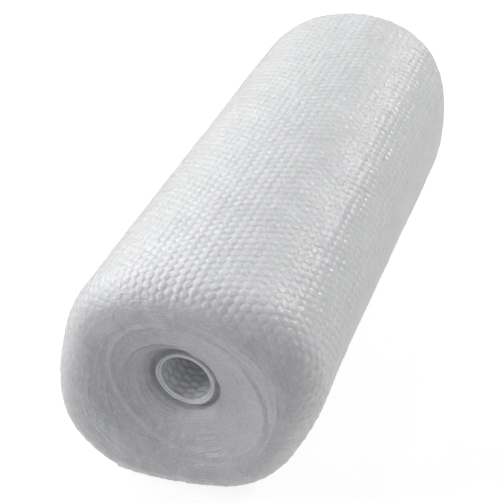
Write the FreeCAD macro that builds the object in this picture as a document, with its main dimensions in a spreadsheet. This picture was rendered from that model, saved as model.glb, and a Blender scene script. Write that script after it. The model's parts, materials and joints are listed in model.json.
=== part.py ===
import FreeCAD, Part
import Sketcher
import math
import os

# A loose roll of small-bubble film that lies on its side.
# The roll's axis runs along Y. Z = 0 is the floor, and X = 0, Y = 0 is the middle of the roll's box.
# The end at -Y is the near end. Lengths are in mm and angles in degrees.

NODE = "bubble_wrap_roll"

SIZES = {
    # The wound film. Its cut across the axis is an oval that leans, flat where it rests.
    "roll_length": 750,
    "roll_radius": 172,
    "squash": 12,
    "heel_tightness": 60,
    "lean_angle": 45,
    "floor_sag": 6,
    "floor_edge_radius": 30,
    "shoulder_radius": 50,
    # One turn of film with its bubbles.
    "film_thickness": 3.4,
    # The open middle, and the collar of inmost turns that stands round it.
    "bore_radius": 31.5,
    "collar_turns": 2,
    "collar_recess": 42,
    "gap_width": 8,
    "gap_drop": 14,
    # The dished end, which falls steadily towards the collar.
    "dish_radius": 112,
    "dish_slope": 29,
    # The spiral line that the turns' edges draw on the dish.
    "turns_per_line": 4,
    "line_width": 3,
    "line_depth": 2.6,
    # The film's outer end, a step low on the side away from the near view.
    "tail_angle": 240,
    "tail_blend": 33,
}

# Lengths that follow from the sizes, as formulas in them.
BORE = "Sizes.bore_radius"
FILM = "Sizes.film_thickness"
COLLAR_RADIUS = f"({BORE} + Sizes.collar_turns * {FILM})"
GAP_RADIUS = f"({COLLAR_RADIUS} + Sizes.gap_width)"
LINE_PITCH = f"(Sizes.turns_per_line * {FILM})"
HEEL_OFFSET = "(2 * Sizes.squash + Sizes.heel_tightness)"
HEEL_RADIUS = "(Sizes.roll_radius - Sizes.squash - Sizes.heel_tightness)"
SIDE_OFFSET = "(2 * Sizes.squash ^ 2 / Sizes.heel_tightness + 2 * Sizes.squash)"
SIDE_RADIUS = f"(Sizes.roll_radius - Sizes.squash + {SIDE_OFFSET})"
AXIS_HEIGHT = f"({SIDE_RADIUS} - {SIDE_OFFSET} * cos(Sizes.lean_angle) - Sizes.floor_sag)"
WIDE = "(2 * Sizes.roll_radius)"


def cone_depth(radius):
    """Formula for how far the dish's cone lies behind the end's plane at a radius."""
    return f"((Sizes.dish_radius - {radius}) * tan(Sizes.dish_slope))"


def make_sheet(doc):
    """The spreadsheet of driving sizes, one per row, each with its own alias."""
    sheet = doc.addObject("Spreadsheet::Sheet", "Sizes")
    for row, (name, size) in enumerate(SIZES.items(), start=1):
        sheet.set(f"A{row}", name)
        sheet.set(f"B{row}", str(size))
        sheet.setAlias(f"B{row}", name)
    doc.recompute()
    return sheet


def value_of(sketch, formula):
    """What a formula gives now, as a plain number."""
    found = sketch.evalExpression(formula)
    return float(getattr(found, "Value", found))


def new_sketch(body, name, role):
    """An empty sketch on one of the body's origin planes."""
    sketch = body.newObject("Sketcher::SketchObject", name)
    plane = next(item for item in body.Origin.OriginFeatures if item.Role == role)
    sketch.AttachmentSupport = [(plane, "")]
    sketch.MapMode = "FlatFace"
    return sketch


def bind(sketch, kind, *items, formula, unit=""):
    """A dimension of the sketch that follows a formula."""
    start = value_of(sketch, formula)
    if unit:
        start = math.radians(start)
    index = sketch.addConstraint(Sketcher.Constraint(kind, *items, start))
    sketch.setExpression(f"Constraints[{index}]", formula + unit)


def draw_outline(sketch, corners):
    """A closed outline through corners, each (x, y) or (x, y, centre x, centre y, turn).

    All but turn are formulas. A corner with a centre starts an arc about it to the next corner,
    anticlockwise where turn is 1 and clockwise where it is -1.
    """
    points = [
        FreeCAD.Vector(value_of(sketch, c[0]), value_of(sketch, c[1]), 0) for c in corners
    ]
    starts, ends = [], []
    for i, corner in enumerate(corners):
        first, last = points[i], points[(i + 1) % len(points)]
        if len(corner) == 2:
            edge = sketch.addGeometry(Part.LineSegment(first, last))
            starts.append((edge, 1))
            ends.append((edge, 2))
            continue
        centre = FreeCAD.Vector(value_of(sketch, corner[2]), value_of(sketch, corner[3]), 0)
        turn = corner[4]
        low, high = (first, last) if turn > 0 else (last, first)
        angles = [math.atan2((p - centre).y, (p - centre).x) for p in (low, high)]
        circle = Part.Circle(centre, FreeCAD.Vector(0, 0, 1), (first - centre).Length)
        edge = sketch.addGeometry(Part.ArcOfCircle(circle, *angles))
        starts.append((edge, 1 if turn > 0 else 2))
        ends.append((edge, 2 if turn > 0 else 1))
        bind(sketch, "DistanceX", edge, 3, formula=corner[2])
    for i, corner in enumerate(corners):
        following = starts[(i + 1) % len(corners)]
        sketch.addConstraint(Sketcher.Constraint("Coincident", *ends[i], *following))
        bind(sketch, "DistanceX", *starts[i], formula=corner[0])
        bind(sketch, "DistanceY", *starts[i], formula=corner[1])


def oval_sketch(body):
    """The roll's oval: two tight arcs, the heels, and two flatter arcs that join them smoothly."""
    sketch = new_sketch(body, "TurnedOval", "XZ_Plane")
    lean = math.radians(value_of(sketch, "Sizes.lean_angle"))
    heel_offset, heel_radius = value_of(sketch, HEEL_OFFSET), value_of(sketch, HEEL_RADIUS)
    side_offset, side_radius = value_of(sketch, SIDE_OFFSET), value_of(sketch, SIDE_RADIUS)
    half_heel = math.atan2(side_offset, heel_offset)
    half_side = math.pi / 2 - half_heel
    arcs = []
    for quarter in range(4):
        facing = lean + quarter * math.pi / 2
        towards = FreeCAD.Vector(math.cos(facing), math.sin(facing), 0)
        if quarter % 2:
            centre, radius, half = towards * -side_offset, side_radius, half_side
        else:
            centre, radius, half = towards * heel_offset, heel_radius, half_heel
        circle = Part.Circle(centre, FreeCAD.Vector(0, 0, 1), radius)
        arcs.append(sketch.addGeometry(Part.ArcOfCircle(circle, facing - half, facing + half)))
    heels = Part.LineSegment(sketch.getPoint(arcs[2], 3), sketch.getPoint(arcs[0], 3))
    long_axis = sketch.addGeometry(heels, True)
    for one, following in zip(arcs, arcs[1:] + arcs[:1]):
        sketch.addConstraint(Sketcher.Constraint("Tangent", one, 2, following, 1))
    sketch.addConstraint(
        [
            Sketcher.Constraint("Equal", arcs[0], arcs[2]),
            Sketcher.Constraint("Equal", arcs[1], arcs[3]),
            Sketcher.Constraint("Coincident", long_axis, 1, arcs[2], 3),
            Sketcher.Constraint("Coincident", long_axis, 2, arcs[0], 3),
            Sketcher.Constraint("Symmetric", long_axis, 1, long_axis, 2, -1, 1),
        ]
    )
    bind(sketch, "Angle", long_axis, formula="Sizes.lean_angle", unit=" * 1 deg")
    bind(sketch, "Distance", long_axis, formula=f"2 * {HEEL_OFFSET}")
    bind(sketch, "Radius", arcs[0], formula=HEEL_RADIUS)
    bind(sketch, "Radius", arcs[1], formula=SIDE_RADIUS)
    return sketch


def pad_roll(body):
    """The plain roll, its middle at the body's origin."""
    pad = body.newObject("PartDesign::Pad", "Roll")
    pad.Profile = oval_sketch(body)
    pad.Midplane = True
    pad.setExpression("Length", "Sizes.roll_length")
    return pad


def cut_along(body, name, sketch, length=None):
    """A pocket along the roll, of a length about its middle or right through."""
    pocket = body.newObject("PartDesign::Pocket", name)
    pocket.Profile = sketch
    pocket.Midplane = True
    if length:
        pocket.setExpression("Length", length)
    else:
        pocket.Type = "ThroughAll"
    return pocket


def cut_floor_flat(body):
    """The flat spot under the roll."""
    sketch = new_sketch(body, "BelowFloor", "XZ_Plane")
    low, high = f"-{WIDE}", f"-{AXIS_HEIGHT}"
    draw_outline(sketch, [(f"-{WIDE}", low), (WIDE, low), (WIDE, high), (f"-{WIDE}", high)])
    return cut_along(body, "FloorFlat", sketch)


def round_edges(body, name, base, is_wanted, radius):
    """A fillet on the edges of the last feature that is_wanted picks."""
    picked = [f"Edge{i}" for i, edge in enumerate(base.Shape.Edges, start=1) if is_wanted(edge)]
    fillet = body.newObject("PartDesign::Fillet", name)
    fillet.Base = (base, picked)
    fillet.setExpression("Radius", radius)
    return fillet


def bore_sketch(body):
    """The hole through the roll's middle."""
    sketch = new_sketch(body, "OpenMiddle", "XZ_Plane")
    middle = FreeCAD.Vector(0, 0, 0)
    circle = Part.Circle(middle, FreeCAD.Vector(0, 0, 1), value_of(sketch, BORE))
    ring = sketch.addGeometry(circle)
    sketch.addConstraint(Sketcher.Constraint("Coincident", ring, 3, -1, 1))
    bind(sketch, "Radius", ring, formula=BORE)
    return sketch


def end_sketch(body, name):
    """A sketch through the roll's axis: x is the depth behind the near end, y the radius."""
    sketch = new_sketch(body, name, "YZ_Plane")
    sketch.setExpression("AttachmentOffset.Base.x", "-Sizes.roll_length / 2")
    return sketch


def cut_dish(body):
    """The hollow of the near end, with the gap round the collar."""
    sketch = end_sketch(body, "DishOutline")
    front = f"-{FILM}"
    face = "Sizes.collar_recess"
    corners = [
        (front, "0"),
        (front, "Sizes.dish_radius"),
        ("0", "Sizes.dish_radius"),
        (cone_depth(GAP_RADIUS), GAP_RADIUS),
        (f"{cone_depth(GAP_RADIUS)} + Sizes.gap_drop", COLLAR_RADIUS),
        (face, COLLAR_RADIUS),
        (face, "0"),
    ]
    draw_outline(sketch, corners)
    groove = body.newObject("PartDesign::Groove", "Dish")
    groove.Profile = sketch
    groove.ReferenceAxis = (sketch, ["H_Axis"])
    groove.Angle = 360
    return groove


def cut_turn_lines(body):
    """The spiral that the turns' edges draw on the near dish, one notch wound out from the gap."""
    sketch = end_sketch(body, "LineNotch")
    start = f"({GAP_RADIUS} + Sizes.line_width)"
    end = "(Sizes.dish_radius - Sizes.line_width)"
    depth = cone_depth(start)
    mouth = f"({depth} - {FILM})"
    spread = f"Sizes.line_width / 2 * (1 + {FILM} / Sizes.line_depth)"
    corners = [
        (mouth, f"{start} - {spread}"),
        (f"{depth} + Sizes.line_depth", start),
        (mouth, f"{start} + {spread}"),
    ]
    draw_outline(sketch, corners)
    spiral = body.newObject("PartDesign::SubtractiveHelix", "TurnLines")
    spiral.Profile = sketch
    spiral.ReferenceAxis = (sketch, ["H_Axis"])
    spiral.Mode = "height-turns-growth"
    turns = f"({end} - {start}) / {LINE_PITCH}"
    spiral.setExpression("Turns", turns)
    spiral.setExpression("Growth", LINE_PITCH)
    spiral.setExpression("Height", f"({end} - {start}) * tan(Sizes.dish_slope)")
    spiral.Reversed = True
    return spiral


def mirror_dish(body, dish):
    """The same hollow at the far end, which is left plain."""
    mirrored = body.newObject("PartDesign::Mirrored", "FarDish")
    mirrored.Originals = [dish]
    plane = next(item for item in body.Origin.OriginFeatures if item.Role == "XZ_Plane")
    mirrored.MirrorPlane = (plane, [""])
    return mirrored


def cut_tail_step(body):
    """The film's outer end on the lower heel.

    The edge stands one film proud of the turn below it. Above the edge that turn rises back to the
    oval along an arc that touches it, tail_blend degrees further round.
    """
    sketch = new_sketch(body, "TailGap", "XZ_Plane")
    heel_x = f"(-{HEEL_OFFSET} * cos(Sizes.lean_angle))"
    heel_y = f"(-{HEEL_OFFSET} * sin(Sizes.lean_angle))"
    edge, blend = "Sizes.tail_angle", "(Sizes.tail_angle - Sizes.tail_blend)"
    foot = f"({HEEL_RADIUS} - {FILM})"
    outside = f"({HEEL_RADIUS} + {FILM})"
    turned = f"({HEEL_RADIUS} - {foot} * cos(Sizes.tail_blend))"
    shift = f"(({HEEL_RADIUS} ^ 2 - {foot} ^ 2) / (2 * {turned}))"

    def at(radius, angle):
        """A point seen from the heel's centre."""
        return f"({heel_x} + {radius} * cos{angle})", f"({heel_y} + {radius} * sin{angle})"

    corners = [
        (*at(HEEL_RADIUS, blend), *at(shift, blend), 1),
        at(foot, f"({edge})"),
        (*at(outside, f"({edge})"), heel_x, heel_y, -1),
        at(outside, blend),
    ]
    draw_outline(sketch, corners)
    return cut_along(body, "TailStep", sketch, "Sizes.roll_length - 2 * Sizes.shoulder_radius")


def is_floor_edge(edge, floor):
    """Whether an edge is one of the flat spot's two long edges."""
    along = abs(edge.Vertexes[0].Y - edge.Vertexes[-1].Y) > edge.Length * 0.99
    return along and all(abs(v.Z - floor) < 1e-3 for v in edge.Vertexes)


def is_end_edge(edge, half_length):
    """Whether an edge lies in the plane of one of the roll's ends."""
    middle = edge.valueAt((edge.FirstParameter + edge.LastParameter) / 2)
    heights = [v.Y for v in edge.Vertexes] + [middle.y]
    return all(abs(abs(y) - half_length) < 1e-3 for y in heights)


def build_roll(doc):
    """The wound roll as one body."""
    body = doc.addObject("PartDesign::Body", NODE)
    body.Label = NODE
    pad_roll(body)
    flat = cut_floor_flat(body)
    doc.recompute()
    floor = -value_of(flat, AXIS_HEIGHT)
    half_length = value_of(flat, "Sizes.roll_length / 2")
    soft_flat = round_edges(
        body, "FloorEdges", flat, lambda e: is_floor_edge(e, floor), "Sizes.floor_edge_radius"
    )
    doc.recompute()
    round_edges(
        body, "Shoulders", soft_flat, lambda e: is_end_edge(e, half_length), "Sizes.shoulder_radius"
    )
    cut_tail_step(body)
    cut_along(body, "Bore", bore_sketch(body))
    dish = cut_dish(body)
    doc.recompute()
    body.Tip = mirror_dish(body, dish)
    cut_turn_lines(body)
    body.setExpression("Placement.Base.z", AXIS_HEIGHT)
    doc.recompute()
    return body


def check_document(doc):
    """Stops where an object failed, a cut took nothing away, or the body isn't one valid solid."""
    for item in doc.Objects:
        if "Invalid" in item.State or "Error" in item.State:
            raise RuntimeError(f"{item.Label} failed: {item.State}")
    body = doc.getObject(NODE)
    volume = math.inf
    for feature in body.Group:
        if feature.isDerivedFrom("PartDesign::Feature"):
            if feature.Shape.Volume >= volume:
                raise RuntimeError(f"{feature.Label} took nothing away")
            volume = feature.Shape.Volume
            print(f"{feature.Label}: {volume / 1e6:.3f} litres")
    shape = body.Shape
    if shape.isNull() or not shape.isValid() or len(shape.Solids) != 1:
        raise RuntimeError("the roll isn't one valid solid")


def main():
    doc = FreeCAD.newDocument("BubbleWrapRoll")
    make_sheet(doc)
    body = build_roll(doc)
    check_document(doc)
    os.makedirs("parts", exist_ok=True)
    body.Shape.exportStep(f"parts/{NODE}.step")
    print(body.Shape.BoundBox)


main()
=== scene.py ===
"""A loose roll of small-bubble film lying on its side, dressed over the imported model."""

import json
import math
from collections import namedtuple

import bpy
import numpy as np
from mathutils import Matrix, Vector


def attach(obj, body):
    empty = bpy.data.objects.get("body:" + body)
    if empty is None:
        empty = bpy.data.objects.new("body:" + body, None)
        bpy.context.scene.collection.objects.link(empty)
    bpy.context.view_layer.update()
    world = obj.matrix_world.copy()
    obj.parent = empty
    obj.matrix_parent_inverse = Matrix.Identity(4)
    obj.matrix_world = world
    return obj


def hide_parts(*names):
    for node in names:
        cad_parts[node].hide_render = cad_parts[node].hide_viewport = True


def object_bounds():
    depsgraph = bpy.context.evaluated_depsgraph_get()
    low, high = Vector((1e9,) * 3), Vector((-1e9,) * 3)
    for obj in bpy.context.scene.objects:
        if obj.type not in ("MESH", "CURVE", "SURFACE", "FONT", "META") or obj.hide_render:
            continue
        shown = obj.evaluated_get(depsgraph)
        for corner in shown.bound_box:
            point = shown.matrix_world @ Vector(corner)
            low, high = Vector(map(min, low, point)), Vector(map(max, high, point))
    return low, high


bl_info = {
    "name": "Bubble film roll",
    "version": (1, 0, 0),
    "blender": (4, 5, 0),
    "location": "3D View > Sidebar > Bubble roll",
    "description": "Builds the wound film, its two dished ends, its open middle and a plain studio",
    "category": "Add Mesh",
}

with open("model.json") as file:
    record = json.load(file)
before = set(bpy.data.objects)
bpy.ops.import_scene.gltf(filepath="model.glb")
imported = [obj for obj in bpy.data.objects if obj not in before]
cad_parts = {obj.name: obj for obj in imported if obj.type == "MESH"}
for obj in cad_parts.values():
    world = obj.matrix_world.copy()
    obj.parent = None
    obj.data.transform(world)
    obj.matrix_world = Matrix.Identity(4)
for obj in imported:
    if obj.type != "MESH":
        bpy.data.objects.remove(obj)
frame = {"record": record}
CAD_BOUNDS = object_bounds()
NODE = "bubble_wrap_roll"
MOUNT = {mount["name"]: mount for mount in frame["record"]["mounts"]}["open_middle"]
AXIS_HEIGHT = MOUNT["pos_m"][2]
HOLE_RADIUS = MOUNT["dims"]["r_mm"] / 1000
ROLL_LENGTH = CAD_BOUNDS[1][1] - CAD_BOUNDS[0][1]

# Points of the meshes: round the roll, to a bubble along it, over the first degrees of a
# shoulder, on the rest of an end, over the gap, over a rim and across the sheet's cut end.
AROUND = 520
PER_BUBBLE = 6
SHOULDER_ROWS, SHOULDER_DEGREES = 12, 30
END_ROWS = 148
GAP_ROWS = 19
RIM_ROWS = 7
CUT_COLUMNS = 6

# Waves of the outline, cosine and sine in turn, of 2 to 5 cycles round the roll. Then the
# roll's width against its height, and how softly the floor holds it up.
NEAR_WAVES = (0.010, 0.084, 0.012, 0.004, -0.036, 0.015, 0.001, 0.006)
FAR_WAVES = (-0.020, 0.032, -0.021, -0.008, -0.011, -0.002, -0.005, -0.004)
NARROWING = 0.984
FLOOR_SOFTNESS = 0.002

# Noise: values in its table, and the primes that spread the lattice over it. Then a length
# that is too small to matter and keeps divisions from zero.
NOISE_VALUES = 4096
NOISE_PRIMES = (73856093, 19349663, 83492791)
TINY = 1e-12

# Waves of the loose film: cells to a radius and to a metre, height and seed. Then their shift.
FILM_WAVES = ((2.1, 5, 0.0012, 41), (7, 13, 0.0005, 42), (24, 45, 0.0005, 43))
FILM_SHIFT = 5

# Waves of an end's skin: cells to a metre, shift, height and seed.
SKIN_WAVES = ((45, 9, 0.0010, 31), (130, 0, 0.0005, 32))

# Levels of the turns on an end: cells to a turn, height and seed, and where one turn's level
# blends into the next. Then the grooves between: their height and their patches, where the
# grooves also hold painted shade.
TURN_WAVES = ((1.3, 0.0005, 21), (23.37, 0.0005, 22))
TURN_BLEND = (0.25, 0.75)
GROOVE_HEIGHT = 0.0003
GROOVE_PATCH = (-0.3, 0.6)
GROOVE_CELLS, GROOVE_DRIFT, GROOVE_SEED = 2.4, 0.4, 24

# Bubbles: reach of one, its strengths, its shift in pitches, how many the table holds, and
# the seeds of strengths and shifts.
BUBBLE_REACH = 0.0064
BUBBLE_STRENGTH = (0.4, 1.0)
BUBBLE_SHIFT = 0.08
BUBBLE_TABLE = 97
STRENGTH_SEED, SHIFT_SEED = 7, 8

# The sheet's end: its lift, over which share of a turn, where the drop to the next begins, and
# the ripple's two rates and the slow one's swing. Then the cut: bulge, raggedness and its tone
# between the ends' colours, which are partly painted shade.
SHEET_LIFT = 0.0014
LIFT_TURN = 0.03
DROP_TURN = 0.89
RIPPLE_RATE, RIPPLE_SWING, RIPPLE_SLOW = 41, 2, 13
CUT_BULGE, CUT_RAGGED = 0.0011, 0.0007
CUT_CELLS, CUT_SEED = 160, 51
CUT_RELIEF = 0.8

# Shares of the shoulder over which the sheet's step fades, and tilts, in radians, over which
# the bubbles fade out and the turns' edges fade in.
SHEET_FADE = (0.05, 0.9)
BUBBLE_FADE = (0.5, 1.35)
EDGE_FADE = (0.4, 1.4)

# The dish: softness of its start, and the bend before the gap.
DISH_SOFTNESS = 0.012
BEND_WIDTH, BEND_DEPTH = 0.012, 0.005

# The rims of the two inmost turns: how round, and how deep the line between and the inner rim
# lie behind the collar's recess. Then the painted glow of the rims, as a share of the side's
# paler colours, and the tone of the painted shade in the gap with the painted light the rims add.
RIM_ROUND = 0.0016
RIM_LINE = 0.0022
RIM_SET_BACK = 0.0026
COLLAR_EDGE = 0.001
COLLAR_PAINTED_GLOW = 0.55
GAP_PAINTED_SHADE, RIM_PAINTED_GLOW = 0.4, 0.5

# Two turns that stand out of an end: radius, swing, height and width, with their angles. The
# wide one is stronger and weaker in patches.
WIDE_RADIUS, WIDE_SWING, WIDE_SIDE = 0.098, 0.020, math.radians(40)
WIDE_HEIGHT, WIDE_WIDTH = 0.0013, 0.0035
FURROW_DEPTH, FURROW_OFFSET, FURROW_WIDTH = 0.0012, 0.0065, 0.004
PATCH_CELLS, PATCH_SHIFT, PATCH_SEED = 1.6, 3, 23
PATCH_LEVEL, PATCH_SPREAD = 0.75, 0.5
TIGHT_RADIUS, TIGHT_SWING = 0.047, 0.025
TIGHT_HEIGHT, TIGHT_WIDTH = 0.0020, 0.0032
TIGHT_WIDENS, TIGHT_STARTS, TIGHT_STOPS = (-0.2, 1.7), (-0.7, 0.1), (2.3, 3.4)

# The hole's wall: rows and columns of bubbles, points to one, their depth, waves and fade.
# Then the waves' cells to a radius and to a metre, their shift and their seed.
HOLE_ROWS, HOLE_COLUMNS, HOLE_STEPS = 16, 59, 6
HOLE_DEPTH, HOLE_WAVES, HOLE_FADE = 0.0012, 0.0006, 0.006
HOLE_CELLS, HOLE_CELLS_ALONG, HOLE_SHIFT, HOLE_SEED = 2, 30, 4, 61

# The film's finish: fixed settings of its shader, scales of its textures in cells to a metre,
# the stretch of the streaks, and the dome of a bubble.
SHADER = {"IOR": 1.5, "Coat Weight": 1.0, "Coat Roughness": 0.19, "Sheen Weight": 1.0,
          "Sheen Roughness": 0.3}
CLOUD_SCALE, STREAK_SCALE, GRAIN_SCALE, FOLD_SCALE = 22, 150, 420, 210
STREAK_STRETCH = (1, 1, 2.8)
STREAK_WOBBLE = (0.10, 0.35, 0)
CLOUD_TONE = (0.3, 0.7, 0.93, 1.05)
# Painted glints: pale highlights painted into the colour where the streaks are high, and their
# colour.
PAINTED_GLINT = (0.55, 0.68, 0.0, 0.35)
PAINTED_GLINT_COLOR = (0.97, 0.97, 0.98, 1)
GRAIN_RANGE, GLOSS_SWING = (0.35, 0.65), 0.12
COLUMN_PITCH = 0.0118
DOME_RIM, DOME_TOP = 0.0056, 0.0030

# Strength and distance of each bump.
GRAIN_BUMP = (0.5, 0.0006)
FOLD_BUMP = (0.35, 0.0008)
DOME_BUMP = (0.4, 0.001)
CREASE_BUMP = (0.6, 0.0018)

# The studio: the floor, and each lamp's name, place, target and size.
FLOOR_RADIUS, FLOOR_SIDES = 9, 96
FLOOR_COLOR, FLOOR_LIT, FLOOR_WHITE = (0.8, 0.8, 0.8, 1), (0.4, 0.4, 0.4, 1), 0.8
LAMPS = (
    ("key", (-2.2, 0.8, 1.5), (0, 0, 0.1), 2.6),
    ("fill", (-2.0, -1.35, 1.35), (0, -0.3, 0.15), 0.9),
    ("rim", (1.25, 2.0, 1.7), (0.1, 0, 0.3), 0.45),
    ("spark", (-0.6, 0.4, 2.6), (0, 0, 0.2), 0.3),
    ("edge", (1.9, 0.9, 0.15), (0.1, 0, 0.12), 0.8),
)

# The camera: how far it is turned and tilted, and the way from it to the middle of the near
# end, to the right, up and ahead, in mean radii.
CAMERA_TURN, CAMERA_TILT = math.radians(20.32), math.radians(36.91)
CAMERA_UNIT = 0.170
CAMERA_WAY = (-0.546, -1.027, 7.61)
SENSOR_WIDTH = 36

Grid = namedtuple("Grid", "points normals relief soft end_rows closed lay")


class RollSizes(bpy.types.PropertyGroup):
    """Sizes of the wound film."""

    radius: bpy.props.FloatProperty(
        name="Radius", description="Mean radius of the roll", default=0.170, unit="LENGTH")
    length: bpy.props.FloatProperty(
        name="Length", description="Width of the film", default=ROLL_LENGTH, unit="LENGTH")
    shoulder: bpy.props.FloatProperty(
        name="Shoulder", description="Radius of the soft rounding at each end", default=0.050,
        unit="LENGTH")
    film: bpy.props.FloatProperty(
        name="Film", description="Thickness of one turn", default=0.0034, unit="LENGTH")
    dish_radius: bpy.props.FloatProperty(
        name="Dish radius", description="Where each end starts to sink in", default=0.112,
        unit="LENGTH")
    dish_slope: bpy.props.FloatProperty(
        name="Dish slope", description="How steeply each end sinks in", default=math.radians(29),
        subtype="ANGLE")
    collar_recess: bpy.props.FloatProperty(
        name="Collar recess", description="Depth of the inmost turns' edge", default=0.042,
        unit="LENGTH")
    gap: bpy.props.FloatProperty(
        name="Gap", description="Width of the gap round the inmost turns", default=0.008,
        unit="LENGTH")
    gap_floor: bpy.props.FloatProperty(
        name="Gap floor", description="Depth of the gap's floor", default=0.0504, unit="LENGTH")
    tail_angle: bpy.props.FloatProperty(
        name="Tail angle", description="Where the sheet ends, counted upward from the right",
        default=math.radians(240), subtype="ANGLE")
    bubble_rows: bpy.props.IntProperty(
        name="Bubble rows", description="Rows of bubbles round the roll", default=104)
    bubble_columns: bpy.props.IntProperty(
        name="Bubble columns", description="Bubbles along the straight side", default=55)
    bubble_height: bpy.props.FloatProperty(
        name="Bubble height", description="How far a bubble stands proud", default=0.0011,
        unit="LENGTH")


class FilmFinish(bpy.types.PropertyGroup):
    """Colours of the film, with painted shade and painted light in them, and its gloss."""

    bubble: bpy.props.FloatVectorProperty(
        name="Bubbles", description="Colour on top of a bubble", default=(0.95, 0.955, 0.97),
        size=3, subtype="COLOR", min=0, max=1)
    # Painted shade: the dips between the bubbles are coloured darker than the bubbles' tops.
    valley_painted_shade: bpy.props.FloatVectorProperty(
        name="Between bubbles", description="Colour between the bubbles",
        default=(0.86, 0.87, 0.89), size=3, subtype="COLOR", min=0, max=1)
    # The ends' colours are darker than the side's, partly the film's edges seen end on and partly
    # painted shade.
    edge: bpy.props.FloatVectorProperty(
        name="Turn edges", description="Colour on the edges of the turns",
        default=(0.59, 0.595, 0.615), size=3, subtype="COLOR", min=0, max=1)
    # Painted shade in the grooves between the turns.
    shade: bpy.props.FloatVectorProperty(
        name="Between turns", description="Colour between the turns",
        default=(0.49, 0.495, 0.52), size=3, subtype="COLOR", min=0, max=1)
    roughness: bpy.props.FloatProperty(
        name="Roughness", description="How matte the film is", default=0.34, min=0, max=1)


class StudioSettings(bpy.types.PropertyGroup):
    """Floor, lamps and camera."""

    ambient: bpy.props.FloatProperty(
        name="Ambient", description="Light from all round", default=0.28, min=0)
    key: bpy.props.FloatProperty(
        name="Key lamp", description="Power of the large lamp at the left", default=32.0,
        min=0, subtype="POWER")
    fill: bpy.props.FloatProperty(
        name="Fill lamp", description="Power of the lamp at the upper left of the near end",
        default=19.0, min=0, subtype="POWER")
    rim: bpy.props.FloatProperty(
        name="Rim lamp", description="Power of the small lamp behind the upper right", default=20.0,
        min=0, subtype="POWER")
    spark: bpy.props.FloatProperty(
        name="Spark lamp", description="Power of the small lamp above, for glints", default=3.0,
        min=0, subtype="POWER")
    edge: bpy.props.FloatProperty(
        name="Edge lamp", description="Power of the low lamp at the right", default=3.5, min=0,
        subtype="POWER")
    lens: bpy.props.FloatProperty(
        name="Lens", description="Focal length on a 36 mm sensor, in millimetres", default=80.76)


def ease(value, low, high):
    """Smooth step: 0 below low, 1 above high, and 3q^2 - 2q^3 between, q the share of the way."""
    share = np.clip((value - low) / (high - low), 0, 1)
    return share * share * (3 - 2 * share)


def noise(x, y, z, seed):
    """Smooth noise from -1 to 1: random values on a unit lattice, blended with the smooth step."""
    table = np.random.RandomState(seed).uniform(-1, 1, NOISE_VALUES)
    cell = [np.floor(value).astype(np.int64) for value in (x, y, z)]
    part = [value - np.floor(value) for value in (x, y, z)]
    part = [value * value * (3 - 2 * value) for value in part]
    total = 0
    for corner in range(8):
        step = (corner & 1, corner >> 1 & 1, corner >> 2 & 1)
        key = (cell[0] + step[0]) * NOISE_PRIMES[0] ^ (cell[1] + step[1]) * NOISE_PRIMES[1]
        key = key ^ (cell[2] + step[2]) * NOISE_PRIMES[2]
        weight = 1
        for share, on in zip(part, step):
            weight = weight * (share if on else 1 - share)
        total = total + weight * table[key % NOISE_VALUES]
    return total


def section(angle, along, roll):
    """The section's radius: the mean radius times 1 plus waves of 2 to 5 cycles a turn.

    The waves change evenly from the near end's straight side to the far end's.
    """
    half = roll.length / 2 - roll.shoulder
    share = np.clip(along / (2 * half) + 0.5, 0, 1)
    reach = 1.0
    for order in range(4):
        cycles = order + 2
        for part, wave in ((0, np.cos(cycles * angle)), (1, np.sin(cycles * angle))):
            near, far = NEAR_WAVES[2 * order + part], FAR_WAVES[2 * order + part]
            reach = reach + (near + (far - near) * share) * wave
    return roll.radius * reach


def sheet_level(turn, along, roll):
    """How far the outer turn lies above the section, turn counting from 0 at the sheet's end.

    It drops by one film in its last part, and just behind its end the sheet lifts a little,
    with a ripple that is the sine of the place along it plus a slower sine.
    """
    swing = RIPPLE_SWING * np.sin(along * RIPPLE_SLOW)
    ripple = 0.5 + 0.5 * np.sin(along * RIPPLE_RATE + swing)
    lift = SHEET_LIFT * ripple * (1 - ease(turn, 0.0, LIFT_TURN))
    return lift - roll.film * ease(turn, DROP_TURN, 1.0)


def about_axis(angle, axial, radius):
    """Points at an angle, a place along and a radius about the roll's axis."""
    x = NARROWING * radius * np.cos(angle)
    z = radius * np.sin(angle) + AXIS_HEIGHT
    return np.stack(np.broadcast_arrays(x, axial, z), axis=-1)


def place(angle, axial, radius):
    """Points about the roll's axis, held up softly at the floor: half of z plus its length."""
    points = about_axis(angle, axial, radius)
    z = points[..., 2]
    points[..., 2] = 0.5 * (z + np.sqrt(z * z + FLOOR_SOFTNESS ** 2))
    return points


def bubble_pitch(roll):
    """Distance from one bubble to the next in its row."""
    return (roll.length - 2 * roll.shoulder) / roll.bubble_columns


def row_pitch(roll):
    """Distance from one row of bubbles to the next, on the mean radius."""
    return 2 * math.pi * roll.radius / roll.bubble_rows


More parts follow.
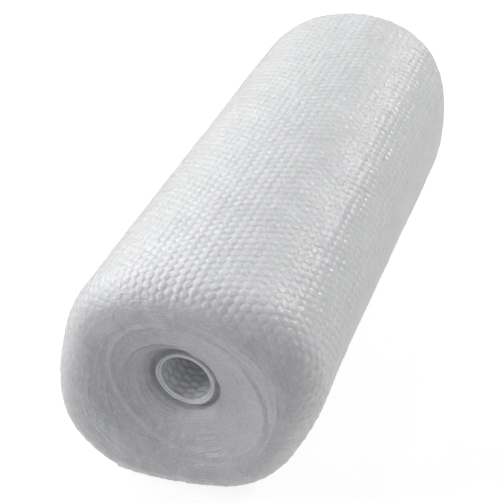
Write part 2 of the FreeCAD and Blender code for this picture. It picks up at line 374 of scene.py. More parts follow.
def bubbles(turn, arc, roll):
    """Relief of the bubbles, 0 to 1: (1 - (d / r)^2)^1.5, d the distance from a bubble's middle.

    Rows are staggered by half a bubble. Each bubble has its own strength and place, from a
    seeded table, and at each point the higher of the two nearest rows counts.
    """
    pitch = bubble_pitch(roll)
    size = (roll.bubble_rows, BUBBLE_TABLE)
    strength = np.random.RandomState(STRENGTH_SEED).uniform(*BUBBLE_STRENGTH, size)
    shift = np.random.RandomState(SHIFT_SEED).uniform(-BUBBLE_SHIFT, BUBBLE_SHIFT,
                                                      (*size, 2))
    row = turn * roll.bubble_rows
    best = 0
    for middle in (np.floor(row), np.floor(row) + 1):
        stagger = 0.5 * np.mod(middle, 2)
        column = np.round(arc / pitch - stagger)
        index = (middle + 0 * column).astype(int) % roll.bubble_rows
        across = (column + 0 * middle).astype(int) % BUBBLE_TABLE
        off = shift[index, across]
        down = (row - middle - off[..., 0]) * row_pitch(roll)
        side = (arc / pitch - stagger - column - off[..., 1]) * pitch
        inside = np.clip(1 - (down ** 2 + side ** 2) / BUBBLE_REACH ** 2, 0, 1)
        best = np.maximum(best, strength[index, across] * inside ** 1.5)
    return best


def ridge(radius, middle, width):
    """A soft ridge round the axis: exp(-((radius - middle) / width)^2)."""
    return np.exp(-((radius - middle) / width) ** 2)


def loose_turns(angle, radius):
    """Height of two turns that stand out of an end: a wide one off the middle and a tight one.

    The wide one's radius is 98 mm plus 20 mm times the cosine of the angle from its far side,
    with a furrow outside it. The tight one widens from 47 mm to 72 mm over the top.
    """
    wide = WIDE_RADIUS + WIDE_SWING * np.cos(angle - WIDE_SIDE)
    patch = noise(PATCH_CELLS * np.cos(angle) + PATCH_SHIFT,
                  PATCH_CELLS * np.sin(angle) + 0 * radius, 0 * radius + 0.5, PATCH_SEED)
    height = WIDE_HEIGHT * ridge(radius, wide, WIDE_WIDTH)
    height = height - FURROW_DEPTH * ridge(radius, wide + FURROW_OFFSET, FURROW_WIDTH)
    upward = np.mod(angle + math.pi / 4, 2 * math.pi) - math.pi / 4
    tight = TIGHT_RADIUS + TIGHT_SWING * ease(upward, *TIGHT_WIDENS)
    over = ease(upward, *TIGHT_STARTS) * (1 - ease(upward, *TIGHT_STOPS))
    height = height * (PATCH_LEVEL + PATCH_SPREAD * patch)
    return height + TIGHT_HEIGHT * over * ridge(radius, tight, TIGHT_WIDTH)


def turn_edges(turn, angle, inward, radius, roll):
    """Height of the turns' edges on an end, in metres, and the share of edge against gap.

    Edges follow a spiral: the count of turns is N times inward less the share of a turn. Each
    turn's level is smooth noise of its own count plus the share of a turn, so it runs on from
    one turn to the next without a break. A cosine, strong in patches only, makes the grooves.
    """
    turns = (roll.radius - gap_radius(roll)) / roll.film
    count = turns * inward - turn
    whole = np.floor(count)
    level = []
    for step in (0, 1):
        run = whole + step + turn
        still = run * 0 + 0.5
        level.append(sum(height * noise(run * cells, still, still, seed)
                         for cells, height, seed in TURN_WAVES))
    blend = ease(count - whole, *TURN_BLEND)
    height = level[0] + (level[1] - level[0]) * blend + loose_turns(angle, radius)
    patch = noise(GROOVE_CELLS * np.cos(angle), GROOVE_CELLS * np.sin(angle),
                  GROOVE_DRIFT * turns * inward, GROOVE_SEED)
    # The share of edge against gap also paints shade into the grooves, through the ends' colours.
    edge = 0.5 + 0.5 * np.cos(2 * math.pi * count) * ease(patch, *GROOVE_PATCH)
    return height + GROOVE_HEIGHT * (edge - 0.5), edge


def collar_radius(roll):
    """Outer radius of the collar: the hole's and two turns of film."""
    return HOLE_RADIUS + 2 * roll.film


def gap_radius(roll):
    """Outer radius of the gap round the collar."""
    return collar_radius(roll) + roll.gap


def shoulder_share(roll):
    """The shoulder's share of the way from the roll's mean radius in to the gap."""
    return roll.shoulder / (roll.radius - gap_radius(roll))


def dish_depth(radius, roll):
    """The slope's tangent times the softened distance inside the dish's radius.

    In the last 12 mm before the gap the dish bends down by another 5 mm, with the square of
    the share of that way.
    """
    inside = roll.dish_radius - radius
    soft = 0.5 * (inside + np.sqrt(inside ** 2 + DISH_SOFTNESS ** 2))
    share = np.clip((gap_radius(roll) + BEND_WIDTH - radius) / BEND_WIDTH, 0, 1)
    return math.tan(roll.dish_slope) * soft + BEND_DEPTH * share ** 2


def lip_profile(roll):
    """Radius and depth from the dish's inner edge, through the gap and over the two inmost turns.

    The gap hangs as a sine's half wave from a line between the dish's edge and the collar's rim.
    Each of the collar's two turns has a round edge, the inner one set back by 1 mm.
    """
    collar, half = collar_radius(roll), roll.film / 2
    start = dish_depth(gap_radius(roll), roll)
    rim = roll.collar_recess + RIM_ROUND
    share = np.linspace(0, 1, GAP_ROWS)[1:, None]
    fall = roll.gap_floor - (start + rim) / 2
    low = np.hstack([collar + roll.gap * (1 - share),
                     start + (rim - start) * share + fall * np.sin(share * math.pi)])
    step = np.linspace(0, 1, RIM_ROWS)[1:, None] * math.pi
    first = np.hstack([collar - half + half * np.cos(step), rim - RIM_ROUND * np.sin(step)])
    line = np.array([[HOLE_RADIUS + roll.film, roll.collar_recess + RIM_LINE]])
    second = np.hstack([HOLE_RADIUS + half + half * np.cos(step),
                        roll.collar_recess + RIM_SET_BACK - RIM_ROUND * np.sin(step)])
    return np.vstack([low, first, line, second])


def end_rows(roll):
    """Places of the rows on an end, from 0 at the straight side to 1 at the gap.

    Over the first degrees of the shoulder they stand at even angles, then at even distances.
    """
    tilt = np.radians(np.linspace(0, SHOULDER_DEGREES, SHOULDER_ROWS))
    bent = shoulder_share(roll) * (1 - np.cos(tilt))
    return np.concatenate([bent, np.linspace(bent[-1], 1, END_ROWS)[1:]])


def end_profile(side, roll):
    """Turn, angle and places of an end's rows, their inset, radius and depth, and the open rows.

    The radius falls evenly from the section to the gap. The depth is a quarter circle's at the
    shoulder plus the dish's. Open rows are those that still have the step of the sheet's end.
    """
    turn = np.linspace(0, 1, AROUND + 1)[None, :]
    angle = roll.tail_angle + 2 * math.pi * turn
    inward = end_rows(roll)[:, None]
    part = shoulder_share(roll)
    fade = 1 - ease(inward, SHEET_FADE[0] * part, SHEET_FADE[1] * part)
    edge_of_side = side * (roll.length / 2 - roll.shoulder)
    outer = section(angle, edge_of_side, roll) + fade * sheet_level(turn, edge_of_side, roll)
    inset = inward * (outer - gap_radius(roll))
    radius = outer - inset
    left = np.clip(roll.shoulder - inset, 0, roll.shoulder)
    depth = roll.shoulder - np.sqrt(roll.shoulder ** 2 - left ** 2)
    depth = depth + dish_depth(radius, roll) * ease(inward, 0, part)
    return turn, angle, inward, inset, radius, depth, fade[:, 0] > 0


def profile_normal(radius, depth):
    """Radial and axial parts of the normal of a profile, from the steps to its next rows."""
    out_step, deep_step = np.gradient(radius, axis=0), np.gradient(depth, axis=0)
    length = np.hypot(out_step, deep_step) + TINY
    radial, axial = -deep_step / length, -out_step / length
    radial[0], axial[0] = 1, 0
    return radial, axial


def end_grid(side, roll):
    """Points, relief, share of turn edges, open rows and places on the film of one end.

    Rows run from the straight side inward, and side is -1 at the near end. The relief stands
    along the profile's own normal: bubbles fade out over the shoulder while the turns' edges
    fade in, and the film's waves die down with the square of the radius.
    """
    turn, angle, inward, inset, radius, depth, is_open = end_profile(side, roll)
    height, edge = turn_edges(turn, angle, inward, radius, roll)
    lip = lip_profile(roll)
    radius = np.vstack([radius, lip[:, :1] + 0 * turn])
    depth = np.vstack([depth, lip[:, 1:] + 0 * turn])
    radial, axial = profile_normal(radius, depth)
    tilt = np.arccos(np.clip(1 - inset / roll.shoulder, 0, 1))
    arc = side * (roll.length / 2 - roll.shoulder + roll.shoulder * tilt)
    bubble = bubbles(turn, arc, roll) * (1 - ease(tilt, *BUBBLE_FADE))
    edges = ease(tilt, *EDGE_FADE)
    lips = np.zeros_like(lip[:, :1] + turn)
    steps = np.hypot(np.diff(radius, axis=0), np.diff(depth, axis=0)).mean(axis=1)
    run = roll.length / 2 - roll.shoulder + np.concatenate([[0], np.cumsum(steps)])[:, None]
    arc = np.vstack([arc, np.repeat(arc[-1:], len(lip), axis=0)])
    shown = np.vstack([1 - ease(tilt, *BUBBLE_FADE), lips])
    lay = np.concatenate([film_place(angle, side * run, roll.radius),
                          lattice(turn, arc, shown, roll)], axis=2)
    x, z = radius * np.cos(angle), radius * np.sin(angle)
    y = side * (roll.length / 2 - depth)
    rough = sum(high * noise(x * cells + shift, y * cells, z * cells, seed)
                for cells, shift, high, seed in SKIN_WAVES)
    waves = undulation(angle, arc, roll) * (radius / roll.radius) ** 2
    relief = np.vstack([roll.bubble_height * bubble + height * edges, lips])
    relief = relief + rough * np.vstack([edges, lips + 1]) + waves
    # Painted glow on the rims of the inmost turns, a share of the side's paler colours, and painted
    # shade in the gap round them.
    collar = ease(collar_radius(roll) + COLLAR_EDGE - lip[:, :1], 0, COLLAR_EDGE)
    # The ends take their darker colours as the shoulder turns, partly the film's edges and partly
    # painted shade.
    soft = np.vstack([edges, 1 - COLLAR_PAINTED_GLOW * collar + 0 * turn])
    share = np.vstack([bubble * (1 - edges) + edge * edges,
                       GAP_PAINTED_SHADE + RIM_PAINTED_GLOW * collar + 0 * turn])
    points = place(angle, y + side * axial * relief, radius + radial * relief)
    return points, share, soft, is_open, lay


def film_place(angle, run, radius):
    """Place on the film for its textures: a circle of one radius, and the way along the skin."""
    return np.stack(np.broadcast_arrays(radius * np.cos(angle), radius * np.sin(angle), run), -1)


def lattice(turn, arc, shown, roll):
    """Place among the bubbles: pairs of rows, columns, and how strongly bubbles show."""
    pair, column = turn * roll.bubble_rows / 2, arc / bubble_pitch(roll)
    return np.stack(np.broadcast_arrays(pair, column, shown), -1)


def undulation(angle, arc, roll):
    """Slow waves of the loose film: noise of the place round and along the roll, in metres."""
    x, z = np.cos(angle) + 0 * arc, np.sin(angle) + 0 * arc
    return sum(height * noise(around * x + FILM_SHIFT, along * arc + 0 * x, around * z, seed)
               for around, along, height, seed in FILM_WAVES)


def side_grid(roll):
    """Points and relief of the straight side, rows from the near shoulder to the far one."""
    turn = np.linspace(0, 1, AROUND + 1)[None, :]
    angle = roll.tail_angle + 2 * math.pi * turn
    half = roll.length / 2 - roll.shoulder
    along = np.linspace(-half, half, roll.bubble_columns * PER_BUBBLE + 1)[:, None]
    bubble = bubbles(turn, along, roll)
    radius = section(angle, along, roll) + sheet_level(turn, along, roll)
    relief = roll.bubble_height * bubble + undulation(angle, along, roll)
    lay = np.concatenate([film_place(angle, along, roll.radius),
                          lattice(turn, along, 1 + 0 * along * turn, roll)], axis=2)
    return place(angle, along, radius + relief), bubble, lay


def close_round(around, points, closed):
    """Lets the steps round the roll run on across the seam, in the rows that close up."""
    wrapped = 0.5 * (points[:, 1] - points[:, -2])
    around[closed, 0] = wrapped[closed]
    around[closed, -1] = wrapped[closed]


def film_grid(roll):
    """The whole skin, rows from the near lip over the side to the far lip.

    The grid holds points, normals, relief, the share of turn edges, the number of rows of each
    end, which rows close up all round, which are those past the shoulders, and places on the
    film with places among the bubbles.
    """
    near, near_relief, near_soft, near_open, near_lay = end_grid(-1, roll)
    far, far_relief, far_soft, far_open, far_lay = end_grid(1, roll)
    side, side_relief, side_lay = side_grid(roll)
    lay = np.concatenate([near_lay[::-1], side_lay[1:-1], far_lay])
    points = np.concatenate([near[::-1], side[1:-1], far])
    relief = np.concatenate([near_relief[::-1], side_relief[1:-1], far_relief])
    soft = np.concatenate([near_soft[::-1], 0 * side_relief[1:-1], far_soft])
    lips = len(near) - len(near_open)
    closed = np.ones(len(points), bool)
    closed[lips:len(points) - lips] = np.concatenate(
        [~near_open[::-1], np.zeros(len(side) - 2, bool), ~far_open])
    ahead = np.gradient(points, axis=0)
    around = np.gradient(points, axis=1)
    close_round(around, points, closed)
    normals = np.cross(ahead, around)
    normals /= np.linalg.norm(normals, axis=2, keepdims=True)
    return Grid(points, normals, relief, soft, len(near), closed, lay)


def quads(number):
    """Corners of the quads between the numbered points of a grid."""
    four = (number[:-1, :-1], number[1:, :-1], number[1:, 1:], number[:-1, 1:])
    return np.stack(four, -1).reshape(-1, 4)


def add_piece(name, grid, rows, columns):
    """Makes one piece from a range of the grid's rows and columns, as quads with given normals.

    Rows that close up share the points of their first and last column in a piece that goes
    all the way round.
    """
    height, width = grid.points.shape[:2]
    number = np.arange(height * width).reshape(height, width)
    if columns == (0, width - 1):
        number[grid.closed, -1] = number[grid.closed, 0]
    number = number[rows[0]:rows[1] + 1, columns[0]:columns[1] + 1]
    used, faces = np.unique(quads(number), return_inverse=True)
    return make_mesh(name, grid.points.reshape(-1, 3)[used], faces.reshape(-1, 4),
                     grid.normals.reshape(-1, 3)[used], grid.relief.ravel()[used],
                     grid.soft.ravel()[used], grid.lay.reshape(-1, 6)[used])


def make_mesh(name, points, faces, normals, relief, soft, lay):
    """A mesh object with smooth given normals and the shares and places its material reads."""
    mesh = bpy.data.meshes.new(name)
    mesh.from_pydata(points, [], faces)
    for title, values in (("relief", relief), ("turns", soft)):
        layer = mesh.attributes.new(title, "FLOAT", "POINT")
        layer.data.foreach_set("value", np.ascontiguousarray(values, np.float32))
    for title, values in (("lay", lay[:, :3]), ("cell", lay[:, 3:])):
        layer = mesh.attributes.new(title, "FLOAT_VECTOR", "POINT")
        layer.data.foreach_set("vector", np.ascontiguousarray(values, np.float32).ravel())
    mesh.polygons.foreach_set("use_smooth", np.ones(len(faces), bool))
    mesh.normals_split_custom_set_from_vertices(normals)
    mesh.materials.append(film_material())
    piece = bpy.data.objects.new(name, mesh)
    bpy.context.scene.collection.objects.link(piece)
    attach(piece, "root")
    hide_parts(NODE)
    return piece


def feed(tree, socket, value):
    """Links an output to a socket, or gives the socket a plain value."""
    if isinstance(value, bpy.types.NodeSocket):
        tree.links.new(value, socket)
    else:
        socket.default_value = value


def combine(tree, operation, first, second):
    """One number from two."""
    node = tree.nodes.new("ShaderNodeMath")
    node.operation = operation
    feed(tree, node.inputs[0], first)
    feed(tree, node.inputs[1], second)
    return node.outputs[0]


def vector(tree, operation, first, second=(0, 0, 0)):
    """A vector from one or two vectors, or a number where it is the length."""
    node = tree.nodes.new("ShaderNodeVectorMath")
    node.operation = operation
    feed(tree, node.inputs[0], first)
    feed(tree, node.inputs[1], second)
    return node.outputs["Value" if operation == "LENGTH" else "Vector"]


def attribute(tree, title, output):
    """One output of an attribute of the mesh."""
    node = tree.nodes.new("ShaderNodeAttribute")
    node.attribute_name = title
    return node.outputs[output]


def texture(tree, kind, scale, at, **settings):
    """A texture node with its scale, its place and its other settings."""
    node = tree.nodes.new(kind)
    node.inputs["Scale"].default_value = scale
    for title, value in settings.items():
        node.inputs[title].default_value = value
    tree.links.new(at, node.inputs["Vector"])
    return node


def mix(tree, share, first, second):
    """The first colour where the share is 0 and the second where it is 1."""
    node = tree.nodes.new("ShaderNodeMix")
    node.data_type = "RGBA"
    feed(tree, node.inputs["Factor"], share)
    feed(tree, node.inputs[6], first)
    feed(tree, node.inputs[7], second)
    return node.outputs[2]


def spread(tree, value, start, stop, low=0.0, high=1.0, shape="LINEAR"):
    """Low where the value is at start and high where it is at stop, and no further."""
    node = tree.nodes.new("ShaderNodeMapRange")
    node.interpolation_type = shape
    for title, number in (("From Min", start), ("From Max", stop), ("To Min", low),
                          ("To Max", high)):
        node.inputs[title].default_value = number
    tree.links.new(value, node.inputs["Value"])
    return node.outputs["Result"]


def bump(tree, settings, height, below=None):
    """A normal bumped by a height with a strength and a distance, on top of another normal."""
    node = tree.nodes.new("ShaderNodeBump")
    node.inputs["Strength"].default_value, node.inputs["Distance"].default_value = settings
    tree.links.new(height, node.inputs["Height"])
    if below is not None:
        tree.links.new(below, node.inputs["Normal"])
    return node.outputs["Normal"]


def film_color(tree, finish, place_at, streak):
    """Two pairs of colours, with clouds over them and pale painted glints along the streaks.

    Each pair is mixed by the relief, which paints shade into the dips between the bubbles and
    between the turns, and one pair with the other by the share of turn edges. The ends' pair is
    darker, partly the film's edges seen end on and partly painted shade.
    """
    relief = attribute(tree, "relief", "Fac")
    # Painted shade: the relief darkens the dips between the bubbles and the grooves between the
    # turns.
    on_side = mix(tree, relief, (*finish.valley_painted_shade, 1), (*finish.bubble, 1))
    on_end = mix(tree, relief, (*finish.shade, 1), (*finish.edge, 1))
    base = mix(tree, attribute(tree, "turns", "Fac"), on_side, on_end)
    cloud = texture(tree, "ShaderNodeTexNoise", CLOUD_SCALE, place_at, Detail=4.0, Roughness=0.6)
    clouded = tree.nodes.new("ShaderNodeVectorMath")
    clouded.operation = "SCALE"
    tree.links.new(base, clouded.inputs[0])
    tree.links.new(spread(tree, cloud.outputs["Fac"], *CLOUD_TONE), clouded.inputs["Scale"])
    # Painted highlight: the colour turns pale where the streaks are high.
    painted_glint = spread(tree, streak.outputs["Fac"], *PAINTED_GLINT)
    return mix(tree, painted_glint, clouded.outputs["Vector"], PAINTED_GLINT_COLOR)


def dome_height(tree, roll, streak):
    """A dome on each bubble, which rises toward the nearest point of two staggered lattices.

    The streaks shift the domes a little, and the attribute's third part says how strongly
    they show.
    """
    wobble = vector(tree, "SUBTRACT", streak.outputs["Color"], (0.5, 0.5, 0.5))
    cell = attribute(tree, "cell", "Vector")
    at = vector(tree, "ADD", cell, vector(tree, "MULTIPLY", wobble, STREAK_WOBBLE))
    pitches = (2 * row_pitch(roll), COLUMN_PITCH, 0)
    far = []
    for start in (0.5, 0.0):
        part = vector(tree, "FRACTION", vector(tree, "ADD", at, (start, start, 0)))
        part = vector(tree, "SUBTRACT", part, (0.5, 0.5, 0))
        far.append(vector(tree, "LENGTH", vector(tree, "MULTIPLY", part, pitches)))
    nearest = combine(tree, "MINIMUM", *far)
    dome = spread(tree, nearest, DOME_RIM, DOME_TOP, shape="SMOOTHSTEP")
    shown = tree.nodes.new("ShaderNodeSeparateXYZ")
    tree.links.new(cell, shown.inputs[0])
    return combine(tree, "MULTIPLY", dome, shown.outputs["Z"])


def film_material():
    """The film's finish, made once: its colour with painted shade and painted glints, a grain that
    varies the gloss, and four bumps.

    The bumps are the grain, folds, a dome on each bubble and creases along the streaks.
    """
    found = bpy.data.materials.get("Clear bubble film")
    if found:
        return found
    scene = bpy.context.scene
    material = bpy.data.materials.new("Clear bubble film")
    material.use_nodes = True
    tree = material.node_tree
    shader = tree.nodes["Principled BSDF"]
    for title, value in SHADER.items():
        shader.inputs[title].default_value = value
    place_at = tree.nodes.new("ShaderNodeTexCoord").outputs["Object"]
    drawn = tree.nodes.new("ShaderNodeMapping")
    drawn.inputs["Scale"].default_value = STREAK_STRETCH
    tree.links.new(attribute(tree, "lay", "Vector"), drawn.inputs["Vector"])
    streak = texture(tree, "ShaderNodeTexNoise", STREAK_SCALE, drawn.outputs["Vector"],
                     Detail=3.0, Roughness=0.65)
    color = film_color(tree, scene.film_finish, place_at, streak)
    tree.links.new(color, shader.inputs["Base Color"])

    grain = texture(tree, "ShaderNodeTexNoise", GRAIN_SCALE, place_at, Detail=3.0, Roughness=0.6)
    matte = scene.film_finish.roughness
    gloss = spread(tree, grain.outputs["Fac"], *GRAIN_RANGE, matte - GLOSS_SWING,
                   matte + GLOSS_SWING)
    tree.links.new(gloss, shader.inputs["Roughness"])

    fold = texture(tree, "ShaderNodeTexVoronoi", FOLD_SCALE, place_at)
    fold.feature = "DISTANCE_TO_EDGE"
    normal = bump(tree, GRAIN_BUMP, grain.outputs["Fac"])
    normal = bump(tree, FOLD_BUMP, fold.outputs["Distance"], normal)
    normal = bump(tree, DOME_BUMP, dome_height(tree, scene.roll_sizes, streak), normal)
    normal = bump(tree, CREASE_BUMP, streak.outputs["Fac"], normal)
    tree.links.new(normal, shader.inputs["Normal"])
    tree.links.new(normal, shader.inputs["Coat Normal"])
    return material


class BUBBLEROLL_OT_side(bpy.types.Operator):
    """Build the outer turn of the roll with its bubbles, in two lengthwise halves"""

    bl_idname = "bubble_roll.side"
    bl_label = "Outer turn"

    def execute(self, context):
        grid = film_grid(context.scene.roll_sizes)
        rows = (grid.end_rows - 1, len(grid.points) - grid.end_rows)
        half = AROUND // 2
        add_piece("outer_turn_under", grid, rows, (0, half))
        add_piece("outer_turn_over", grid, rows, (half, AROUND))
        return {"FINISHED"}


class BUBBLEROLL_OT_ends(bpy.types.Operator):
    """Build the two soft ends with the edges of the turns, the gap and the inmost turns"""

    bl_idname = "bubble_roll.ends"
    bl_label = "Dished ends"

    def execute(self, context):
        grid = film_grid(context.scene.roll_sizes)
        last = len(grid.points) - 1
        add_piece("near_end", grid, (0, grid.end_rows - 1), (0, AROUND))
        add_piece("far_end", grid, (last - grid.end_rows + 1, last), (0, AROUND))
        return {"FINISHED"}


def cut_wall(grid):
    """The sheet's cut end, rows along it and columns from the turn below up to the sheet.

    It bulges backward by a ragged half sine, no more than the step is high.
    """
    keep = np.flatnonzero(~grid.closed)
    keep = np.arange(keep[0] - 1, keep[-1] + 2)
    low, high = grid.points[keep, -1], grid.points[keep, 0]
    share = np.linspace(0, 1, CUT_COLUMNS)[None, :, None]
    back = grid.points[keep, 1] - grid.points[keep, 0]
    back /= np.linalg.norm(back, axis=1, keepdims=True)
    still = high[:, 0] * 0
    ragged = CUT_BULGE + CUT_RAGGED * noise(high[:, 1] * CUT_CELLS, still, still, CUT_SEED)
    thick = np.linalg.norm(high - low, axis=1)
    bulge = np.minimum(ragged, thick)[:, None, None] * np.sin(math.pi * share)
    return low[:, None] + (high - low)[:, None] * share - bulge * back[:, None]


class BUBBLEROLL_OT_sheet_end(bpy.types.Operator):
    """Build the cut end of the sheet, where the outer turn stops on the turn below it"""

    bl_idname = "bubble_roll.sheet_end"
    bl_label = "End of the sheet"

    def execute(self, context):
        wall = cut_wall(film_grid(context.scene.roll_sizes))
        normals = np.cross(np.gradient(wall, axis=0), np.gradient(wall, axis=1))
        normals /= np.linalg.norm(normals, axis=2, keepdims=True) + TINY
        count = wall.shape[0] * CUT_COLUMNS
        number = np.arange(count).reshape(-1, CUT_COLUMNS)
        points = wall.reshape(-1, 3)
        lay = np.hstack([points, np.zeros((count, 3))])
        # The cut takes the ends' darker colours, partly the film's edge seen end on and partly
        # painted shade.
        make_mesh("sheet_end", points, quads(number), normals.reshape(-1, 3),
                  np.full(count, CUT_RELIEF), np.ones(count), lay)
        return {"FINISHED"}


def hole_relief(row, along, pitch):
    """Relief of the hole's bubbles, 0 to 1, in staggered rows, as on the outside but even."""
    relief = 0
    for middle in (np.floor(row), np.floor(row) + 1):
        stagger = 0.5 * np.mod(middle, 2)
        side = along / pitch - stagger - np.round(along / pitch - stagger)
        across = (row - middle) * 2 * math.pi * HOLE_RADIUS / HOLE_ROWS
        inside = np.clip(1 - (across ** 2 + (side * pitch) ** 2) / BUBBLE_REACH ** 2, 0, 1)
        relief = np.maximum(relief, inside ** 1.5)
    return relief


class BUBBLEROLL_OT_hole(bpy.types.Operator):
    """Build the wall of the open middle, the bubbled inside of the first turn"""

    bl_idname = "bubble_roll.hole"
    bl_label = "Open middle"

    def execute(self, context):
        roll = context.scene.roll_sizes
        turn = np.linspace(0, 1, HOLE_ROWS * HOLE_STEPS + 1)[None, :]
        angle = 2 * math.pi * turn
        reach = roll.length / 2 - roll.collar_recess - RIM_SET_BACK
        along = np.linspace(-reach, reach, HOLE_COLUMNS * HOLE_STEPS + 1)[:, None]
        pitch = 2 * reach / HOLE_COLUMNS
        row = turn * HOLE_ROWS
        relief = hole_relief(row, along, pitch)
        fade = ease(reach - np.abs(along), 0.0, HOLE_FADE)
        x, z = np.cos(angle) + 0 * along, np.sin(angle) + 0 * along
        waves = HOLE_WAVES + HOLE_WAVES * noise(
            HOLE_CELLS * x + HOLE_SHIFT, HOLE_CELLS_ALONG * along + 0 * x, HOLE_CELLS * z,
            HOLE_SEED)
        radius = HOLE_RADIUS + (waves + HOLE_DEPTH * (1 - relief)) * fade
        points = about_axis(angle, along, radius)
        around = np.gradient(points, axis=1)
        close_round(around, points, np.ones(len(points), bool))
        normals = np.cross(around, np.gradient(points, axis=0))
        normals /= np.linalg.norm(normals, axis=2, keepdims=True)
        number = np.arange(points.shape[0] * points.shape[1]).reshape(points.shape[:2])
        number[:, -1] = number[:, 0]
        used, faces = np.unique(quads(number.T), return_inverse=True)
        cell = np.stack(np.broadcast_arrays(row / 2, along / pitch, 1 + 0 * along * turn), -1)
        lay = np.concatenate([film_place(angle, along, HOLE_RADIUS), cell], axis=2)
        make_mesh("hole_wall", points.reshape(-1, 3)[used], faces.reshape(-1, 4),
                  normals.reshape(-1, 3)[used], relief.ravel()[used], np.zeros(len(used)),
                  lay.reshape(-1, 6)[used])
        return {"FINISHED"}


class BUBBLEROLL_OT_studio(bpy.types.Operator):
    """Build the pale floor, the lamps, the surroundings and the camera"""

    bl_idname = "bubble_roll.studio"
    bl_label = "Studio"

    def execute(self, context):
        studio = context.scene.studio_settings
        turn = np.linspace(0, 2 * math.pi, FLOOR_SIDES + 1)[:-1]
        rim = np.stack([FLOOR_RADIUS * np.cos(turn), FLOOR_RADIUS * np.sin(turn), 0 * turn], -1)
        mesh = bpy.data.meshes.new("floor")
        mesh.from_pydata(rim, [], [list(range(FLOOR_SIDES))])
        floor = bpy.data.objects.new("floor", mesh)
        context.scene.collection.objects.link(floor)
        mesh.materials.append(floor_material())
        surroundings(context.scene, studio.ambient)
        for name, location, target, size in LAMPS:
            lamp(f"{name}_lamp", location, target, size, getattr(studio, name))
        add_camera(context.scene, studio.lens)
        return {"FINISHED"}


def lamp(name, location, target, size, power):
    """A square soft lamp at a place, facing a target."""
    light = bpy.data.lights.new(name, "AREA")
    light.size = size
    light.energy = power
    holder = bpy.data.objects.new(name, light)
    holder.location = location
    holder.rotation_euler = (Vector(target) - Vector(location)).to_track_quat("-Z", "Y").to_euler()
    bpy.context.scene.collection.objects.link(holder)


def seen_directly(tree):
    """The Light Path node, and 1 for camera, glossy and transmission rays."""
    path = tree.nodes.new("ShaderNodeLightPath")
    first = combine(tree, "MAXIMUM", path.outputs["Is Camera Ray"], path.outputs["Is Glossy Ray"])
    return path, combine(tree, "MAXIMUM", first, path.outputs["Is Transmission Ray"])


def mix_shaders(tree, share, first, second):
    """The first shader where the share is 0 and the second where it is 1."""
    node = tree.nodes.new("ShaderNodeMixShader")
    for value, socket in zip((share, first, second), node.inputs):
        tree.links.new(value, socket)
    return node.outputs[0]


def floor_material():
    """Matte pale floor for the light; the camera sees white, with the roll's shadow left on it.

    Mirrored or seen through something clear, the floor is plain white.
    """
    material = bpy.data.materials.new("Pale floor")
    material.use_nodes = True
    tree = material.node_tree
    tree.nodes.clear()
    output = tree.nodes.new("ShaderNodeOutputMaterial")
    path, direct = seen_directly(tree)
    matte = tree.nodes.new("ShaderNodeBsdfDiffuse")
    matte.inputs["Color"].default_value = FLOOR_COLOR
    lit = tree.nodes.new("ShaderNodeBsdfDiffuse")
    lit.inputs["Color"].default_value = FLOOR_LIT
    white = tree.nodes.new("ShaderNodeEmission")
    white.inputs["Strength"].default_value = FLOOR_WHITE
    plain = tree.nodes.new("ShaderNodeEmission")
    shown = tree.nodes.new("ShaderNodeAddShader")
    tree.links.new(lit.outputs[0], shown.inputs[0])
    tree.links.new(white.outputs[0], shown.inputs[1])
    seen = mix_shaders(tree, path.outputs["Is Camera Ray"], plain.outputs[0], shown.outputs[0])
    both = mix_shaders(tree, direct, matte.outputs[0], seen)
    tree.links.new(both, output.inputs["Surface"])
    return material


def surroundings(scene, ambient):
    """White all round where seen directly, and a low even light otherwise."""
    world = bpy.data.worlds.new("Surroundings")
    scene.world = world
    world.use_nodes = True
    tree = world.node_tree
    tree.nodes.clear()
    output = tree.nodes.new("ShaderNodeOutputWorld")
    _, direct = seen_directly(tree)
    shades = []
    for strength in (ambient, 1.0):
        shade = tree.nodes.new("ShaderNodeBackground")
        shade.inputs["Color"].default_value = (1, 1, 1, 1)
        shade.inputs["Strength"].default_value = strength
        shades.append(shade.outputs[0])
    both = mix_shaders(tree, direct, *shades)
    tree.links.new(both, output.inputs["Surface"])


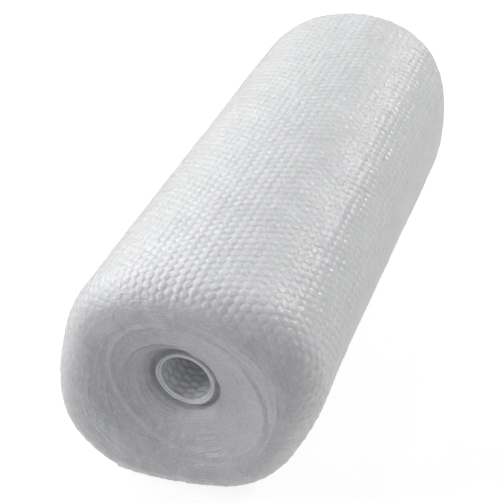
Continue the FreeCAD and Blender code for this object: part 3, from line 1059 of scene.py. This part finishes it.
def add_camera(scene, lens):
    """The photograph's view: from the near end, 20 degrees to the right and 37 above."""
    right = Vector((math.cos(CAMERA_TURN), math.sin(CAMERA_TURN), 0))
    up = Vector((-math.sin(CAMERA_TURN) * math.sin(CAMERA_TILT),
                 math.cos(CAMERA_TURN) * math.sin(CAMERA_TILT), math.cos(CAMERA_TILT)))
    forward = up.cross(right)
    near_middle = Vector((0, -ROLL_LENGTH / 2, AXIS_HEIGHT))
    way = CAMERA_WAY[0] * right + CAMERA_WAY[1] * up + CAMERA_WAY[2] * forward
    data = bpy.data.cameras.new("camera")
    data.lens = lens
    data.sensor_width = SENSOR_WIDTH
    camera = bpy.data.objects.new("camera", data)
    scene.collection.objects.link(camera)
    turned = Matrix((right, up, -forward)).transposed()
    camera.matrix_world = Matrix.Translation(near_middle - CAMERA_UNIT * way) @ turned.to_4x4()
    scene.camera = camera
    scene.view_settings.view_transform = "Standard"


class BUBBLEROLL_PT_panel(bpy.types.Panel):
    """Lists the roll's pieces and its settings"""

    bl_idname = "BUBBLEROLL_PT_panel"
    bl_label = "Bubble film roll"
    bl_space_type = "VIEW_3D"
    bl_region_type = "UI"
    bl_category = "Bubble roll"

    def draw(self, context):
        scene = context.scene
        for title, group in (("Sizes", scene.roll_sizes), ("Film", scene.film_finish),
                             ("Studio", scene.studio_settings)):
            box = self.layout.box()
            box.label(text=title)
            for name in group.__annotations__:
                box.prop(group, name)
        for operator in OPERATORS:
            self.layout.operator(operator.bl_idname)


GROUPS = {"roll_sizes": RollSizes, "film_finish": FilmFinish, "studio_settings": StudioSettings}
OPERATORS = (BUBBLEROLL_OT_studio, BUBBLEROLL_OT_side, BUBBLEROLL_OT_ends,
             BUBBLEROLL_OT_sheet_end, BUBBLEROLL_OT_hole)


def register():
    """Register the settings, the operators and the panel."""
    for name, group in GROUPS.items():
        bpy.utils.register_class(group)
        setattr(bpy.types.Scene, name, bpy.props.PointerProperty(type=group))
    for one in (*OPERATORS, BUBBLEROLL_PT_panel):
        bpy.utils.register_class(one)


def unregister():
    """Take the panel, the operators and the settings away again."""
    for one in (BUBBLEROLL_PT_panel, *reversed(OPERATORS)):
        bpy.utils.unregister_class(one)
    for name, group in GROUPS.items():
        delattr(bpy.types.Scene, name)
        bpy.utils.unregister_class(group)


def main():
    """Build everything in order."""
    register()
    bpy.ops.bubble_roll.studio()
    bpy.ops.bubble_roll.side()
    bpy.ops.bubble_roll.ends()
    bpy.ops.bubble_roll.sheet_end()
    bpy.ops.bubble_roll.hole()


if __name__ == "__main__":
    main()
